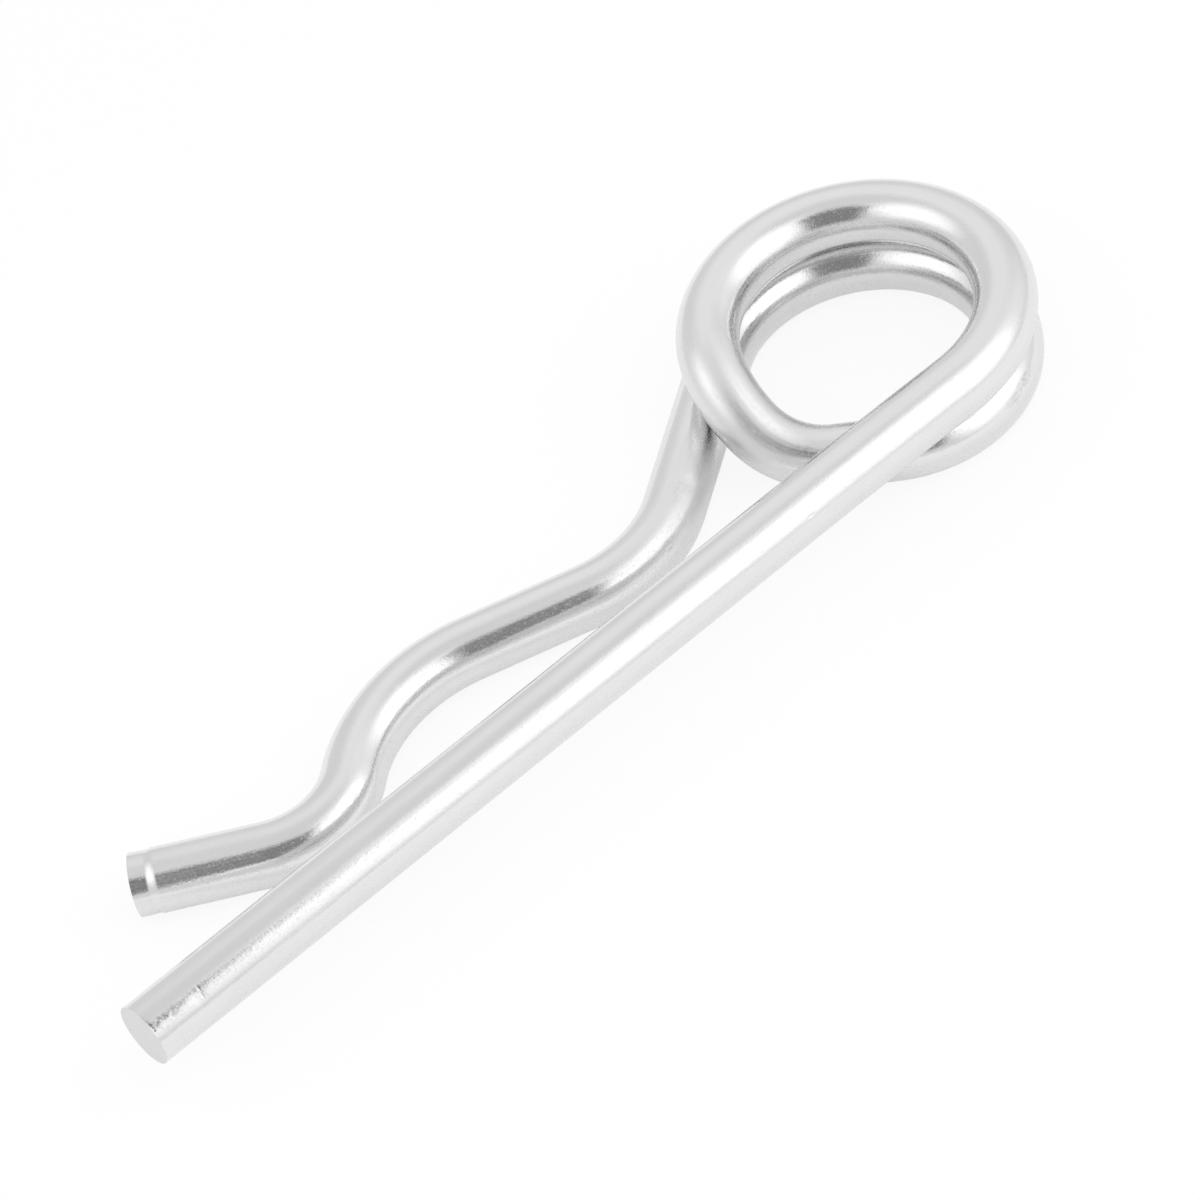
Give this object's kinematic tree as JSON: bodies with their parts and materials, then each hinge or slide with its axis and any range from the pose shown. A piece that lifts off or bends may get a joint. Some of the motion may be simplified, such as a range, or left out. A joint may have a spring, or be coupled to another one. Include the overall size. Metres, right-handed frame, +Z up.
{
  "type": "hitch pin clip",
  "caption": "Hitch pin R clip bent from one round spring wire: a coiled finger eye, a straight leg for a cross hole and a waved leg that grips the outside of the pin.",
  "frame": {"origin": "axis of the finger eye, on the surface that the clip lies on", "axes": "legs run from the eye towards -X, the straight leg lies on the -Y side, +Z up out of the surface along the axis of the eye"},
  "size_m": [0.0755, 0.023, 0.0083],
  "materials": {
    "plated_wire": "bright zinc plating on drawn spring steel wire"
  },
  "bodies": {
    "root": {"clip_wire": "plated_wire"}
  },
  "joints": []
}
